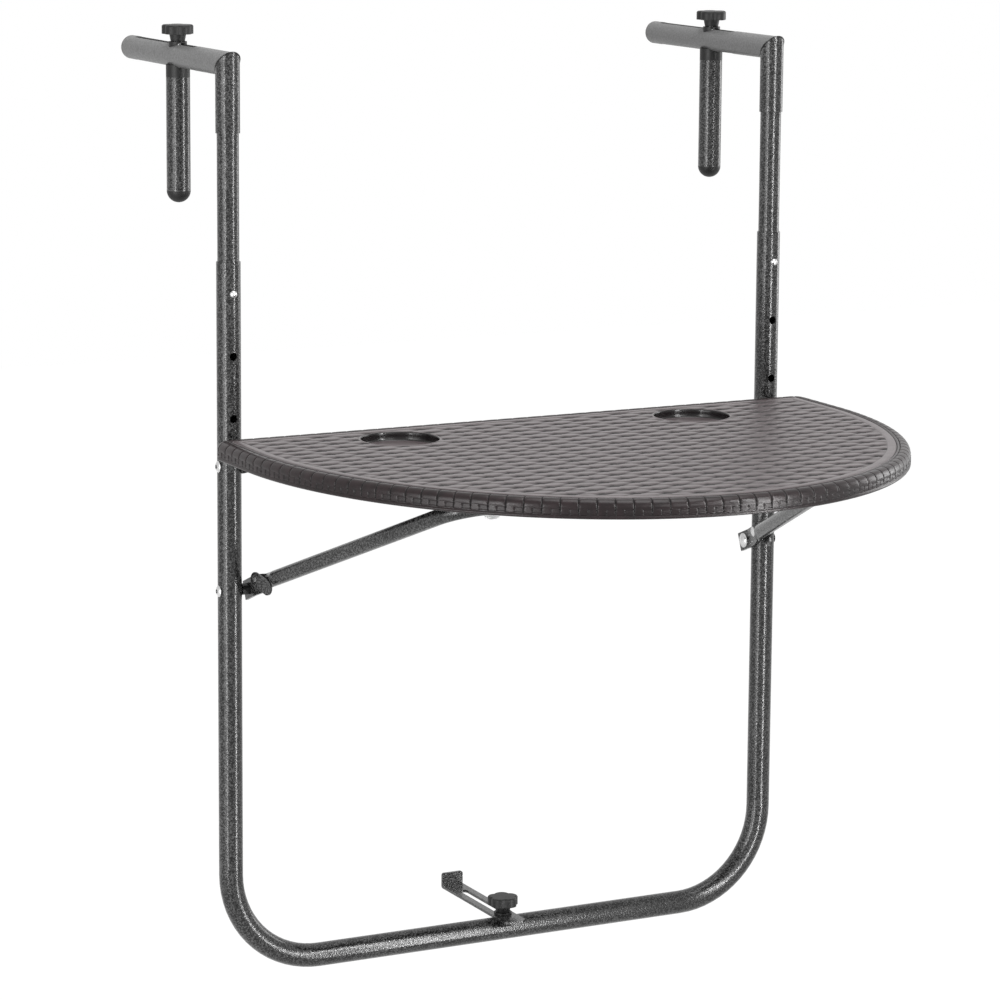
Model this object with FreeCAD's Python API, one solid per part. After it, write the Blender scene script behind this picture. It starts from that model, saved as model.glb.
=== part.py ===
"""Folding bar table that hangs on a balcony railing.

A bent U-frame carries a D-shaped moulded top on two side pivots and a tube brace.
Two hook arms slide in the legs of the frame and grip the railing with drop legs.

Millimetres. X runs along the railing, +Y points over the railing, +Z is up.
The origin is where the arms' undersides meet the plane of the uprights' rear
faces, midway between the arms: the inner top edge of the railing.
"""
import FreeCAD
import Part
import math
import os

Vector = FreeCAD.Vector

# Tubes
LEG_OD = 25.0
LEG_WALL = 1.2
POST_OD = 22.4
POST_WALL = 1.2
BRACE_OD = 16.0
BRACE_WALL = 1.2

# Main frame
LEG_SPAN = 638.0
LEG_TOP_DROP = 187.5
FRAME_HEIGHT = 743.0
FRAME_BEND_R = 100.0
HOLE_PITCH = 64.0
HOLE_COUNT = 3
FIRST_HOLE_DROP = 32.0
BUTTON_R = 4.0
BUTTON_NOSE = 3.6
BUTTON_COLLAR = 1.0
SPRING_WIDTH = 6.0
SPRING_LEAF = 0.8
SPRING_ABOVE_BUTTON = 8.0
SPRING_BELOW_BUTTON = 30.0

# Hook arms
SLEEVE_DROP = 57.0
ARM_LENGTH = 256.0
SLOT_WIDTH = 9.0
SLOT_FRONT = 75.0
SLOT_REAR = 240.0
POST_BELOW_BUTTON = 42.0
POST_IN_ELBOW = 2.0
PLUG_FLANGE = 2.0
PLUG_EDGE_R = 1.5
PLUG_SPIGOT = 14.0

# Drop legs and their clamps
DROP_OFFSET = 130.0
DROP_TUBE_TOP = 10.0
DROP_TUBE_LENGTH = 118.0
SADDLE_HORN = 3.0
SADDLE_SPIGOT = 20.0
BOLT_R = 4.0
BOLT_BELOW_NUT = 4.0
NUT_FLATS = 13.0
NUT_HEIGHT = 6.5

# Knobs
KNOB_R = 16.8
KNOB_HEAD = 9.5
KNOB_LOBES = 5
KNOB_LOBE_R = 9.0
KNOB_NECK_R = 7.4
KNOB_NECK_TOP_R = 8.8
KNOB_NECK = 7.5
KNOB_WASHER_R = 9.5
KNOB_WASHER = 2.0
KNOB_WASHER_LAP = 5.0
KNOB_EDGE_R = 2.2

# Table top
TOP_HALF_WIDTH = 349.0
TOP_REAR_GAP = 11.5
TOP_STRAIGHT_SIDE = 85.0
TOP_FRONT_BULGE = 405.0
TOP_CORNER_R = 18.0
TOP_THICKNESS = 19.0
TOP_SKIN = 5.0
TOP_RIM_WIDTH = 13.0
TOP_EDGE_R = 6.0
TOP_UNDER_R = 3.0
TOP_DROP = 365.0
RIB_THICKNESS = 3.0
RIB_PITCH = 74.0
RIB_RECESS = 1.0
CUP_R = 40.2
CUP_DEPTH = 9.5
CUP_SPACING = 342.0
CUP_FROM_REAR = 71.0
CUP_WALL = 2.5

# Pivots
TOP_PIVOT_BELOW_TOP = 33.0
BRACE_PIVOT_BELOW_TOP = 163.0
PIVOT_R = 3.0
PIVOT_HEAD_R = 6.0
PIVOT_HEAD = 2.4
PIVOT_HOLLOW_R = 2.2
PIVOT_HOLLOW = 5.0
PIVOT_WASHER_R = 8.0
PIVOT_WASHER = 1.2

# Hinge brackets
BRACKET_PLATE = 2.5
BRACKET_REACH = 110.0
BRACKET_FLANGE = 28.0
BRACKET_EAR_R = 9.0
BRACKET_SCREW_NEAR = 49.5
BRACKET_SCREW_FAR = 99.0
BRACKET_GUSSET = 30.0
BRACKET_GUSSET_DROP = 4.0
EAR_HEEL_BACK = 2.7
EAR_HEEL_DROP = 8.55
EAR_WASHER = 1.0

# Brace
BRACE_REACH = 356.5
BRACE_INSET = 22.0
BRACE_LEAN = 12.4
BRACE_BEND_R = 42.0
PADDLE_THICKNESS = 3.2
PADDLE_HEIGHT = 20.0
PADDLE_TAIL = 11.0
PADDLE_FOLD = 11.0
PADDLE_SHOULDER = 25.0
PADDLE_LENGTH = 36.0
PADDLE_BLEND = 16.0
PADDLE_LAP = 2.0
TAB_PLATE = 1.8
TAB_R = 7.5
TAB_END_ALONG = 46.0
TAB_END_DOWN = 9.0
TAB_RIVET_ALONG = 28.0
TAB_RIVET_UP = 4.0
TAB_RIVET_R = 2.5
TAB_RIVET_HEAD_R = 5.5
TAB_RIVET_HEAD = 2.0
TAB_SPACER_R = 4.5

# Catches that the brace's cross bar seats in
CATCH_X = 180.0
CATCH_WIDTH = 20.0
CATCH_PLATE = 2.0
CATCH_LIP = 3.3
CATCH_FRONT = 26.0
CATCH_REAR = 34.0
CATCH_TAIL = 23.0
CATCH_TAIL_R = 8.5
CATCH_PLAY = 1.0
CATCH_SCREW_FRONT = 17.0
CATCH_SCREW_REAR = 26.0

# Bracket on the bottom rail
RAIL_BAR_WIDTH = 25.0
RAIL_BAR_PLATE = 3.0
RAIL_BAR_FRONT = 33.0
RAIL_BAR_REAR = 125.0
RAIL_BAR_LIP = 14.0
RAIL_BAR_CHAMFER = 5.0
RAIL_LIP_R = 2.5
RAIL_SLOT_FRONT = 8.0
RAIL_SLOT_REAR = 98.0
RAIL_SLOT_WIDTH = 9.0
INSERT_WALL = 1.6
INSERT_COLLAR = 1.4

# Screws of the table top
SCREW_R = 2.0
SCREW_HEAD_R = 4.0
SCREW_HEAD = 2.0
SCREW_LENGTH = 9.0
BOSS_R = 5.0

# Clearances
SLIDE_FIT = 0.10
TURN_FIT = 0.08
SEAT_GAP = 0.30
BUTTON_FIT = 0.15

# Places worked out from the sizes above
LEG_R = LEG_OD / 2
LEG_BORE_R = LEG_R - LEG_WALL
POST_R = POST_OD / 2
BRACE_R = BRACE_OD / 2
LEG_Y = -LEG_R
ARM_Z = LEG_R
LEG_X = LEG_SPAN / 2
LEG_TOP_Z = -LEG_TOP_DROP
RAIL_Z = LEG_TOP_Z - FRAME_HEIGHT
HOLE_Z = [LEG_TOP_Z - FIRST_HOLE_DROP - i * HOLE_PITCH for i in range(HOLE_COUNT)]
BUTTON_Z = HOLE_Z[0]
TOP_Z = -TOP_DROP
TOP_UNDER_Z = TOP_Z - TOP_THICKNESS
PAD_Z = TOP_UNDER_Z + RIB_RECESS
TOP_REAR_Y = LEG_Y - LEG_R - TOP_REAR_GAP
TOP_FRONT_CENTRE_Y = TOP_REAR_Y - TOP_STRAIGHT_SIDE
TOP_FRONT_Y = TOP_FRONT_CENTRE_Y - TOP_FRONT_BULGE
TOP_PIVOT_Z = TOP_Z - TOP_PIVOT_BELOW_TOP
BRACE_PIVOT_Z = TOP_Z - BRACE_PIVOT_BELOW_TOP
BRACE_X = LEG_X - BRACE_INSET
CATCH_SEAT_Z = PAD_Z - CATCH_PLATE
CROSS_Z = CATCH_SEAT_Z - SEAT_GAP - BRACE_R
BRACE_ANGLE = math.asin((CROSS_Z - BRACE_PIVOT_Z) / BRACE_REACH)
CROSS_Y = LEG_Y - BRACE_REACH * math.cos(BRACE_ANGLE)
LEAN = math.radians(BRACE_LEAN)
CROSS_HALF_X = BRACE_X - (BRACE_REACH - PADDLE_FOLD) * math.tan(LEAN)
DROP_Y = LEG_Y + DROP_OFFSET
ARM_END_Y = LEG_Y + ARM_LENGTH
CUP_Y = TOP_REAR_Y - CUP_FROM_REAR
BAR_Z = RAIL_Z + LEG_R + SEAT_GAP
SIDES = {"left": -1, "right": 1}


def cylinder(radius, start, end):
    """Solid rod between two points."""
    axis = end.sub(start)
    return Part.makeCylinder(radius, axis.Length, start, axis)


def tube(outer_r, inner_r, start, end):
    """Straight open tube between two points."""
    return cylinder(outer_r, start, end).cut(cylinder(inner_r, start, end))


def box(low, high):
    """Block between two corners given as (x, y, z)."""
    size = [high[i] - low[i] for i in range(3)]
    return Part.makeBox(size[0], size[1], size[2], Vector(*low))


def side_plate(outline, x_low, x_high):
    """Plate across X from an outline of (y, z) points."""
    points = [Vector(x_low, y, z) for y, z in outline]
    face = Part.Face(Part.makePolygon(points + [points[0]]))
    return face.extrude(Vector(x_high - x_low, 0, 0))


def slot_cutter(width, y_front, y_rear, x_centre, z_low, z_high):
    """Block with round ends along Y that cuts a long slot."""
    radius = width / 2
    height = z_high - z_low
    low = (x_centre - radius, y_front + radius, z_low)
    body = box(low, (x_centre + radius, y_rear - radius, z_high))
    for y_end in (y_front + radius, y_rear - radius):
        body = body.fuse(Part.makeCylinder(radius, height, Vector(x_centre, y_end, z_low)))
    return body


def dome_head(radius, height, centre, outward):
    """Rivet head: a low dome whose flat base lies at centre."""
    sphere_r = (radius * radius + height * height) / (2 * height)
    square = outward.cross(Vector(outward.y, outward.z, outward.x)).normalize()
    middle = centre.add(outward * (height - sphere_r))
    rim = centre.add(square * radius)
    tip = centre.add(outward * height)
    halfway = middle.add(rim.sub(middle).add(tip.sub(middle)).normalize() * sphere_r)
    edges = [Part.makeLine(centre, rim), Part.Arc(rim, halfway, tip).toShape(), Part.makeLine(tip, centre)]
    return Part.Face(Part.Wire(edges)).revolve(centre, outward, 360)


def bent_tube(path_points, bend_r, outer_r, inner_r):
    """Tube along straight runs joined by tangent bends of one radius."""
    first = path_points[0]
    along_in = path_points[1].sub(first).normalize()
    edges = []
    start = first
    for i in range(1, len(path_points) - 1):
        corner = path_points[i]
        toward = corner.sub(path_points[i - 1]).normalize()
        away = path_points[i + 1].sub(corner).normalize()
        half_turn = toward.getAngle(away) / 2
        reach = bend_r * math.tan(half_turn)
        enter = corner.sub(toward * reach)
        leave = corner.add(away * reach)
        inward = away.sub(toward).normalize()
        middle = corner.add(inward * (bend_r / math.cos(half_turn) - bend_r))
        edges.append(Part.makeLine(start, enter))
        edges.append(Part.Arc(enter, middle, leave).toShape())
        start = leave
    edges.append(Part.makeLine(start, path_points[-1]))
    path = Part.Wire(edges)
    solids = []
    for radius in (outer_r, inner_r):
        ring = Part.Wire(Part.makeCircle(radius, first, along_in))
        solids.append(path.makePipeShell([ring], True, False))
    return solids[0].cut(solids[1])


def hex_prism(flats, height, base):
    """Hexagon standing on base, across-flats size given."""
    corner_r = flats / math.sqrt(3)
    points = []
    for i in range(7):
        angle = math.radians(60 * i)
        points.append(base.add(Vector(corner_r * math.cos(angle), corner_r * math.sin(angle), 0)))
    return Part.Face(Part.makePolygon(points)).extrude(Vector(0, 0, height))


def make_u_frame():
    """Bent tube with snap holes, pivot holes and the hole for the rail bracket."""
    top_left = Vector(-LEG_X, LEG_Y, LEG_TOP_Z)
    low_left = Vector(-LEG_X, LEG_Y, RAIL_Z)
    low_right = Vector(LEG_X, LEG_Y, RAIL_Z)
    top_right = Vector(LEG_X, LEG_Y, LEG_TOP_Z)
    frame = bent_tube([top_left, low_left, low_right, top_right], FRAME_BEND_R, LEG_R, LEG_BORE_R)
    for side in SIDES.values():
        x = side * LEG_X
        for z in HOLE_Z:
            hole = cylinder(BUTTON_R + BUTTON_FIT, Vector(x, LEG_Y - LEG_OD, z), Vector(x, LEG_Y, z))
            frame = frame.cut(hole)
        for z in (TOP_PIVOT_Z, BRACE_PIVOT_Z):
            across = cylinder(PIVOT_R, Vector(x - LEG_OD, LEG_Y, z), Vector(x + LEG_OD, LEG_Y, z))
            frame = frame.cut(across)
    nut_hole = cylinder(nut_sleeve_r(), Vector(0, LEG_Y, RAIL_Z), Vector(0, LEG_Y, RAIL_Z + LEG_OD))
    return frame.cut(nut_hole)


def make_post(side):
    """Inner tube that slides in a leg and is fixed in the elbow above."""
    x = side * LEG_X
    low = Vector(x, LEG_Y, BUTTON_Z - POST_BELOW_BUTTON)
    high = Vector(x, LEG_Y, -POST_IN_ELBOW)
    post = tube(POST_R, POST_R - POST_WALL, low, high)
    front = cylinder(BUTTON_R + BUTTON_FIT, Vector(x, LEG_Y - LEG_OD, BUTTON_Z), Vector(x, LEG_Y, BUTTON_Z))
    return post.cut(front)


def make_hook_arm(side):
    """Elbow of sleeve and arm with a mitred corner and a slot through the arm."""
    x = side * LEG_X
    reach = 2 * ARM_LENGTH
    below_mitre = side_plate([(-reach, reach), (reach, -reach), (-reach, -reach)], x - LEG_OD, x + LEG_OD)
    arm = None
    for radius, cut_away in ((LEG_R, False), (POST_R + SLIDE_FIT / 2, True)):
        sleeve = cylinder(radius, Vector(x, LEG_Y, -SLEEVE_DROP), Vector(x, LEG_Y, ARM_Z + LEG_OD))
        level = cylinder(radius, Vector(x, LEG_Y - LEG_OD, ARM_Z), Vector(x, ARM_END_Y, ARM_Z))
        elbow = sleeve.common(below_mitre).fuse(level.cut(below_mitre))
        arm = arm.cut(elbow) if cut_away else elbow
    slot = slot_cutter(SLOT_WIDTH, LEG_Y + SLOT_FRONT, LEG_Y + SLOT_REAR, x, ARM_Z - LEG_OD, ARM_Z + LEG_OD)
    return arm.cut(slot)


def make_arm_plug(side):
    """Push-in plug that closes the rear end of an arm."""
    x = side * LEG_X
    end = Vector(x, ARM_END_Y, ARM_Z)
    flange = cylinder(LEG_R, end, end.add(Vector(0, PLUG_FLANGE, 0)))
    rim = [edge for edge in flange.Edges if edge.BoundBox.YMin > ARM_END_Y + PLUG_FLANGE / 2]
    flange = flange.makeFillet(PLUG_EDGE_R, rim)
    spigot = cylinder(POST_R, end.sub(Vector(0, PLUG_SPIGOT, 0)), end)
    return flange.fuse(spigot)


def button_back_y():
    """Front of the snap button's collar, clear of the post's round inner wall."""
    bore_r = POST_R - POST_WALL
    collar_r = BUTTON_R + BUTTON_COLLAR
    return LEG_Y - math.sqrt(bore_r * bore_r - collar_r * collar_r) + SEAT_GAP


def make_snap_button(side):
    """Round-nosed pin that locks the post in a hole of the leg."""
    x = side * LEG_X
    nose_y = LEG_Y - LEG_R
    back_y = button_back_y()
    shank = cylinder(BUTTON_R, Vector(x, nose_y, BUTTON_Z), Vector(x, back_y, BUTTON_Z))
    nose = dome_head(BUTTON_R, BUTTON_NOSE, Vector(x, nose_y, BUTTON_Z), Vector(0, -1, 0))
    collar_end = Vector(x, back_y + BUTTON_COLLAR, BUTTON_Z)
    collar = cylinder(BUTTON_R + BUTTON_COLLAR, Vector(x, back_y, BUTTON_Z), collar_end)
    return shank.fuse(nose).fuse(collar)


def make_button_spring(side):
    """Folded leaf spring inside the post, behind the snap button."""
    x = side * LEG_X
    half_width = SPRING_WIDTH / 2
    front_y = button_back_y() + BUTTON_COLLAR
    rear_y = LEG_Y + math.sqrt((POST_R - POST_WALL) ** 2 - half_width ** 2) - SEAT_GAP
    top_z = BUTTON_Z + SPRING_ABOVE_BUTTON
    low_z = BUTTON_Z - SPRING_BELOW_BUTTON
    fold = 2 * SPRING_LEAF
    outline = [(front_y, top_z), (front_y + SPRING_LEAF, top_z), (LEG_Y, low_z + 2 * fold)]
    outline += [(rear_y - SPRING_LEAF, top_z), (rear_y, top_z), (LEG_Y + fold, low_z), (LEG_Y - fold, low_z)]
    return side_plate(outline, x - half_width, x + half_width)


def make_drop_leg(side):
    """Open tube that hangs behind the railing."""
    x = side * LEG_X
    top = Vector(x, DROP_Y, -DROP_TUBE_TOP)
    return tube(LEG_R, LEG_BORE_R, top, top.sub(Vector(0, 0, DROP_TUBE_LENGTH)))


def make_saddle(side):
    """Plastic seat between the drop leg and the arm, with a pocket for the nut."""
    x = side * LEG_X
    top = Vector(x, DROP_Y, SADDLE_HORN)
    seat = Vector(x, DROP_Y, -DROP_TUBE_TOP)
    foot = seat.sub(Vector(0, 0, SADDLE_SPIGOT))
    saddle = cylinder(LEG_R, seat, top).fuse(cylinder(POST_R, foot, seat))
    arm_space = cylinder(LEG_R + SEAT_GAP, Vector(x, 0, ARM_Z), Vector(x, ARM_END_Y, ARM_Z))
    bore = cylinder(BOLT_R + SEAT_GAP, foot, top)
    pocket = hex_prism(NUT_FLATS + 2 * SLIDE_FIT, NUT_HEIGHT + SLIDE_FIT, foot)
    return saddle.cut(arm_space).cut(bore).cut(pocket)


def make_drop_nut(side):
    """Hexagon nut in the saddle's pocket."""
    base = Vector(side * LEG_X, DROP_Y, -DROP_TUBE_TOP - SADDLE_SPIGOT)
    nut = hex_prism(NUT_FLATS, NUT_HEIGHT, base)
    return nut.cut(cylinder(BOLT_R + TURN_FIT, base, base.add(Vector(0, 0, NUT_HEIGHT))))


def make_drop_cap(side):
    """Domed plastic cap at the foot of the drop leg."""
    x = side * LEG_X
    foot_z = -DROP_TUBE_TOP - DROP_TUBE_LENGTH
    foot = Vector(x, DROP_Y, foot_z)
    dome = Part.makeSphere(LEG_R, foot)
    dome = dome.common(cylinder(LEG_R, foot.sub(Vector(0, 0, LEG_R)), foot))
    return dome.fuse(cylinder(POST_R, foot, foot.add(Vector(0, 0, PLUG_SPIGOT))))


def knob_solid(base):
    """Lobed hand knob that stands on base: neck, then head with rounded edges."""
    neck = Part.makeCone(KNOB_NECK_R, KNOB_NECK_TOP_R, KNOB_NECK, base)
    head_base = base.add(Vector(0, 0, KNOB_NECK))
    lobe_centre_r = KNOB_R - KNOB_LOBE_R
    head = Part.makeCylinder(lobe_centre_r, KNOB_HEAD, head_base)
    for i in range(KNOB_LOBES):
        angle = math.radians(360 * i / KNOB_LOBES)
        offset = Vector(lobe_centre_r * math.cos(angle), lobe_centre_r * math.sin(angle), 0)
        head = head.fuse(Part.makeCylinder(KNOB_LOBE_R, KNOB_HEAD, head_base.add(offset)))
    head = head.removeSplitter()
    top_z = head_base.z + KNOB_HEAD
    rim = [edge for edge in head.Edges if edge.BoundBox.ZMin > top_z - 0.01]
    head = head.makeFillet(KNOB_EDGE_R, rim)
    return head.fuse(neck).removeSplitter()


def clamp_knob_base_z():
    """Height of the underside of a clamp knob's neck."""
    return ARM_Z + LEG_R + KNOB_WASHER


def make_clamp_knob(side):
    """Hand knob on an arm, bored for its bolt."""
    base = Vector(side * LEG_X, DROP_Y, clamp_knob_base_z())
    bore = cylinder(BOLT_R, base, base.add(Vector(0, 0, KNOB_NECK + KNOB_HEAD / 2)))
    return knob_solid(base).cut(bore)


def make_clamp_bolt(side):
    """Bolt from the knob through the arm's slot to the drop leg's nut."""
    x = side * LEG_X
    top = Vector(x, DROP_Y, clamp_knob_base_z() + KNOB_NECK + KNOB_HEAD / 2)
    foot = Vector(x, DROP_Y, -DROP_TUBE_TOP - SADDLE_SPIGOT - BOLT_BELOW_NUT)
    return cylinder(BOLT_R, foot, top)


def make_clamp_washer(side):
    """Washer under the knob, hollowed to the arm's round top."""
    x = side * LEG_X
    top = Vector(x, DROP_Y, clamp_knob_base_z() - SEAT_GAP)
    washer = cylinder(KNOB_WASHER_R, Vector(x, DROP_Y, ARM_Z + LEG_R - KNOB_WASHER_LAP), top)
    arm_space = cylinder(LEG_R + SEAT_GAP, Vector(x, 0, ARM_Z), Vector(x, ARM_END_Y, ARM_Z))
    bore = cylinder(BOLT_R + SEAT_GAP, Vector(x, DROP_Y, 0), Vector(x, DROP_Y, LEG_OD * 2))
    return washer.cut(arm_space).cut(bore)


def top_outline(inset):
    """Closed D-shaped wire at height zero, inset from the outer edge."""
    half = TOP_HALF_WIDTH - inset
    bulge = TOP_FRONT_BULGE - inset
    corner = max(TOP_CORNER_R - inset, 1.0)
    rear = TOP_REAR_Y - inset
    mid = corner * (1 - 1 / math.sqrt(2))
    centre = Vector(0, TOP_FRONT_CENTRE_Y, 0)
    left_low = Vector(-half, TOP_FRONT_CENTRE_Y, 0)
    right_low = Vector(half, TOP_FRONT_CENTRE_Y, 0)
    bulge_tip = Vector(0, TOP_FRONT_CENTRE_Y + bulge, 0)
    if half >= bulge:
        front = Part.ArcOfEllipse(Part.Ellipse(right_low, bulge_tip, centre), math.pi, 2 * math.pi)
    else:
        front = Part.ArcOfEllipse(Part.Ellipse(bulge_tip, left_low, centre), math.pi / 2, 3 * math.pi / 2)
    right_high = Vector(half, rear - corner, 0)
    rear_right = Vector(half - corner, rear, 0)
    rear_left = Vector(corner - half, rear, 0)
    left_high = Vector(-half, rear - corner, 0)
    edges = [front.toShape(), Part.makeLine(right_low, right_high)]
    edges.append(Part.Arc(right_high, Vector(half - mid, rear - mid, 0), rear_right).toShape())
    edges.append(Part.makeLine(rear_right, rear_left))
    edges.append(Part.Arc(rear_left, Vector(mid - half, rear - mid, 0), left_high).toShape())
    edges.append(Part.makeLine(left_high, left_low))
    return Part.Wire(Part.__sortEdges__(edges))


def top_slab(inset, z_low, z_high):
    """Solid D-shaped slab between two heights."""
    face = Part.Face(top_outline(inset))
    slab = face.extrude(Vector(0, 0, z_high - z_low))
    slab.translate(Vector(0, 0, z_low))
    return slab


def bracket_screw_places(side):
    """(x, y) of the screws of one hinge bracket."""
    x = side * (ear_outer_x() - BRACKET_FLANGE / 2)
    return [(x, LEG_Y - BRACKET_SCREW_NEAR), (x, LEG_Y - BRACKET_SCREW_FAR)]


def catch_screw_places(side):
    """(x, y) of the screws of one catch."""
    x = side * CATCH_X
    return [(x, CROSS_Y - CATCH_SCREW_FRONT), (x, CROSS_Y + CATCH_SCREW_REAR)]


def screw_places():
    """(x, y) of every screw that holds a fitting to the table top."""
    places = []
    for side in SIDES.values():
        places += bracket_screw_places(side) + catch_screw_places(side)
    return places


def ear_outer_x():
    """Outer face of a hinge bracket's ear, just inside the leg."""
    return LEG_X - LEG_R - EAR_WASHER - SEAT_GAP


def make_table_top():
    """Moulded top: skin, rolled rim, ribs, screw bosses and two cup recesses."""
    slab = top_slab(0, TOP_UNDER_Z, TOP_Z)
    upper = [edge for edge in slab.Edges if edge.BoundBox.ZMin > TOP_Z - 0.01]
    slab = slab.makeFillet(TOP_EDGE_R, upper)
    lower = [edge for edge in slab.Edges if edge.BoundBox.ZMax < TOP_UNDER_Z + 0.01]
    slab = slab.makeFillet(TOP_UNDER_R, lower)
    skin_z = TOP_Z - TOP_SKIN
    slab = slab.cut(top_slab(TOP_RIM_WIDTH, TOP_UNDER_Z - 1, skin_z))
    inside = top_slab(TOP_RIM_WIDTH, PAD_Z, skin_z)
    half = RIB_THICKNESS / 2
    ribs = []
    count_x = int(TOP_HALF_WIDTH / RIB_PITCH)
    for i in range(-count_x, count_x + 1):
        x = i * RIB_PITCH
        ribs.append(box((x - half, TOP_FRONT_Y, PAD_Z), (x + half, TOP_REAR_Y, skin_z)))
    count_y = int((TOP_REAR_Y - TOP_FRONT_Y) / RIB_PITCH)
    for j in range(1, count_y + 1):
        y = TOP_REAR_Y - j * RIB_PITCH
        ribs.append(box((-TOP_HALF_WIDTH, y - half, PAD_Z), (TOP_HALF_WIDTH, y + half, skin_z)))
    for x, y in screw_places():
        ribs.append(Part.makeCylinder(BOSS_R, skin_z - PAD_Z, Vector(x, y, PAD_Z)))
    for side in SIDES.values():
        cup_low = TOP_Z - CUP_DEPTH - CUP_WALL
        centre = Vector(side * CUP_SPACING / 2, CUP_Y, cup_low)
        ribs.append(Part.makeCylinder(CUP_R + CUP_WALL, skin_z - cup_low, centre))
    grid = ribs[0].multiFuse(ribs[1:])
    slab = slab.fuse(grid.common(inside.fuse(top_slab(TOP_RIM_WIDTH, TOP_UNDER_Z, PAD_Z))))
    for side in SIDES.values():
        centre = Vector(side * CUP_SPACING / 2, CUP_Y, TOP_Z - CUP_DEPTH)
        slab = slab.cut(Part.makeCylinder(CUP_R, CUP_DEPTH + 1, centre))
    for x, y in screw_places():
        pilot = Part.makeCylinder(SCREW_R, SCREW_LENGTH, Vector(x, y, PAD_Z))
        slab = slab.cut(pilot)
    return slab.removeSplitter()


def make_table_screws():
    """Pan-head screws through the hinge brackets and the catches."""
    screws = []
    places = []
    for side in SIDES.values():
        places += [(x, y, BRACKET_PLATE) for x, y in bracket_screw_places(side)]
        places += [(x, y, CATCH_PLATE) for x, y in catch_screw_places(side)]
    for x, y, plate in places:
        head_top = Vector(x, y, PAD_Z - plate)
        head = dome_head(SCREW_HEAD_R, SCREW_HEAD, head_top, Vector(0, 0, -1))
        shank = cylinder(SCREW_R, head_top, Vector(x, y, PAD_Z + SCREW_LENGTH - 1))
        screws.append(head.fuse(shank))
    return Part.makeCompound(screws)


def make_hinge_bracket(side):
    """Angle bracket: flange under the top and an ear beside the leg."""
    outer = ear_outer_x()
    inner = outer - BRACKET_PLATE
    front_y = LEG_Y - BRACKET_REACH
    rear_y = TOP_REAR_Y - TOP_RIM_WIDTH
    pivot = Vector(0, LEG_Y, TOP_PIVOT_Z)
    under = PAD_Z - BRACKET_PLATE
    disc = cylinder(BRACKET_EAR_R, Vector(inner, pivot.y, pivot.z), Vector(outer, pivot.y, pivot.z))
    heel = (pivot.y - EAR_HEEL_BACK, pivot.z - EAR_HEEL_DROP)
    outline = [(pivot.y, pivot.z + BRACKET_EAR_R), (rear_y, PAD_Z - RIB_RECESS), (rear_y - 1, PAD_Z)]
    outline += [(front_y, PAD_Z), (front_y, under)]
    outline += [(rear_y - BRACKET_GUSSET, under - BRACKET_GUSSET_DROP), heel]
    web = side_plate(outline, inner, outer)
    flange = box((outer - BRACKET_FLANGE, front_y, under), (outer, rear_y - 1, PAD_Z))
    bracket = web.fuse(disc).fuse(flange)
    hole = cylinder(PIVOT_R + TURN_FIT, Vector(0, pivot.y, pivot.z), Vector(LEG_X, pivot.y, pivot.z))
    bracket = bracket.cut(hole)
    for x, y in bracket_screw_places(1):
        bracket = bracket.cut(Part.makeCylinder(SCREW_R, LEG_OD, Vector(x, y, under - LEG_R)))
    bracket = bracket.removeSplitter()
    return bracket if side > 0 else mirrored(bracket)


def mirrored(shape):
    """The left-hand copy of a right-hand shape."""
    return shape.mirror(Vector(0, 0, 0), Vector(1, 0, 0))


def make_top_pivot(side):
    """Rivet through the leg and the ear of the hinge bracket."""
    outer_x = LEG_X + LEG_R
    inner_x = ear_outer_x() - BRACKET_PLATE - SEAT_GAP
    rivet = pivot_rivet(inner_x, outer_x, TOP_PIVOT_Z)
    return rivet if side > 0 else mirrored(rivet)


def pivot_rivet(inner_x, outer_x, z):
    """Right-hand rivet along X: a dome at each end, the outer one hollowed."""
    shank = cylinder(PIVOT_R, Vector(inner_x, LEG_Y, z), Vector(outer_x, LEG_Y, z))
    outer_head = dome_head(PIVOT_HEAD_R, PIVOT_HEAD, Vector(outer_x, LEG_Y, z), Vector(1, 0, 0))
    inner_head = dome_head(PIVOT_HEAD_R, PIVOT_HEAD, Vector(inner_x, LEG_Y, z), Vector(-1, 0, 0))
    tip_x = outer_x + PIVOT_HEAD
    hollow = cylinder(PIVOT_HOLLOW_R, Vector(tip_x - PIVOT_HOLLOW, LEG_Y, z), Vector(tip_x, LEG_Y, z))
    return shank.fuse(outer_head).fuse(inner_head).cut(hollow)


def paddle_outer_x():
    """Face of the brace's flattened end that points at the leg."""
    return BRACE_X + PADDLE_THICKNESS / 2


def make_brace_pivot(side):
    """Long rivet through the leg, the spacer and the brace's flattened end."""
    inner_x = BRACE_X - PADDLE_THICKNESS / 2 - PIVOT_WASHER - SEAT_GAP
    rivet = pivot_rivet(inner_x, LEG_X + LEG_R, BRACE_PIVOT_Z)
    washer_face = Vector(inner_x, LEG_Y, BRACE_PIVOT_Z)
    rivet = rivet.fuse(cylinder(PIVOT_WASHER_R, washer_face, washer_face.add(Vector(PIVOT_WASHER, 0, 0))))
    return rivet if side > 0 else mirrored(rivet)


def make_pivot_spacers():
    """Plain round spacers on the rivets, between the legs and what they carry."""
    spans = [(ear_outer_x() + SEAT_GAP, TOP_PIVOT_Z), (paddle_outer_x() + SEAT_GAP, BRACE_PIVOT_Z)]
    spacers = []
    for low_x, z in spans:
        low = Vector(low_x, LEG_Y, z)
        high = Vector(LEG_X - LEG_R, LEG_Y, z)
        spacer = tube(PIVOT_HEAD_R, PIVOT_R, low, high)
        spacers += [spacer, mirrored(spacer)]
    return Part.makeCompound(spacers)


def brace_frame_point(along, up, x=0.0):
    """Point given along the brace from its pivot and square to it, upwards."""
    y = LEG_Y - along * math.cos(BRACE_ANGLE) + up * math.sin(BRACE_ANGLE)
    z = BRACE_PIVOT_Z + along * math.sin(BRACE_ANGLE) + up * math.cos(BRACE_ANGLE)
    return Vector(x, y, z)


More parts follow.
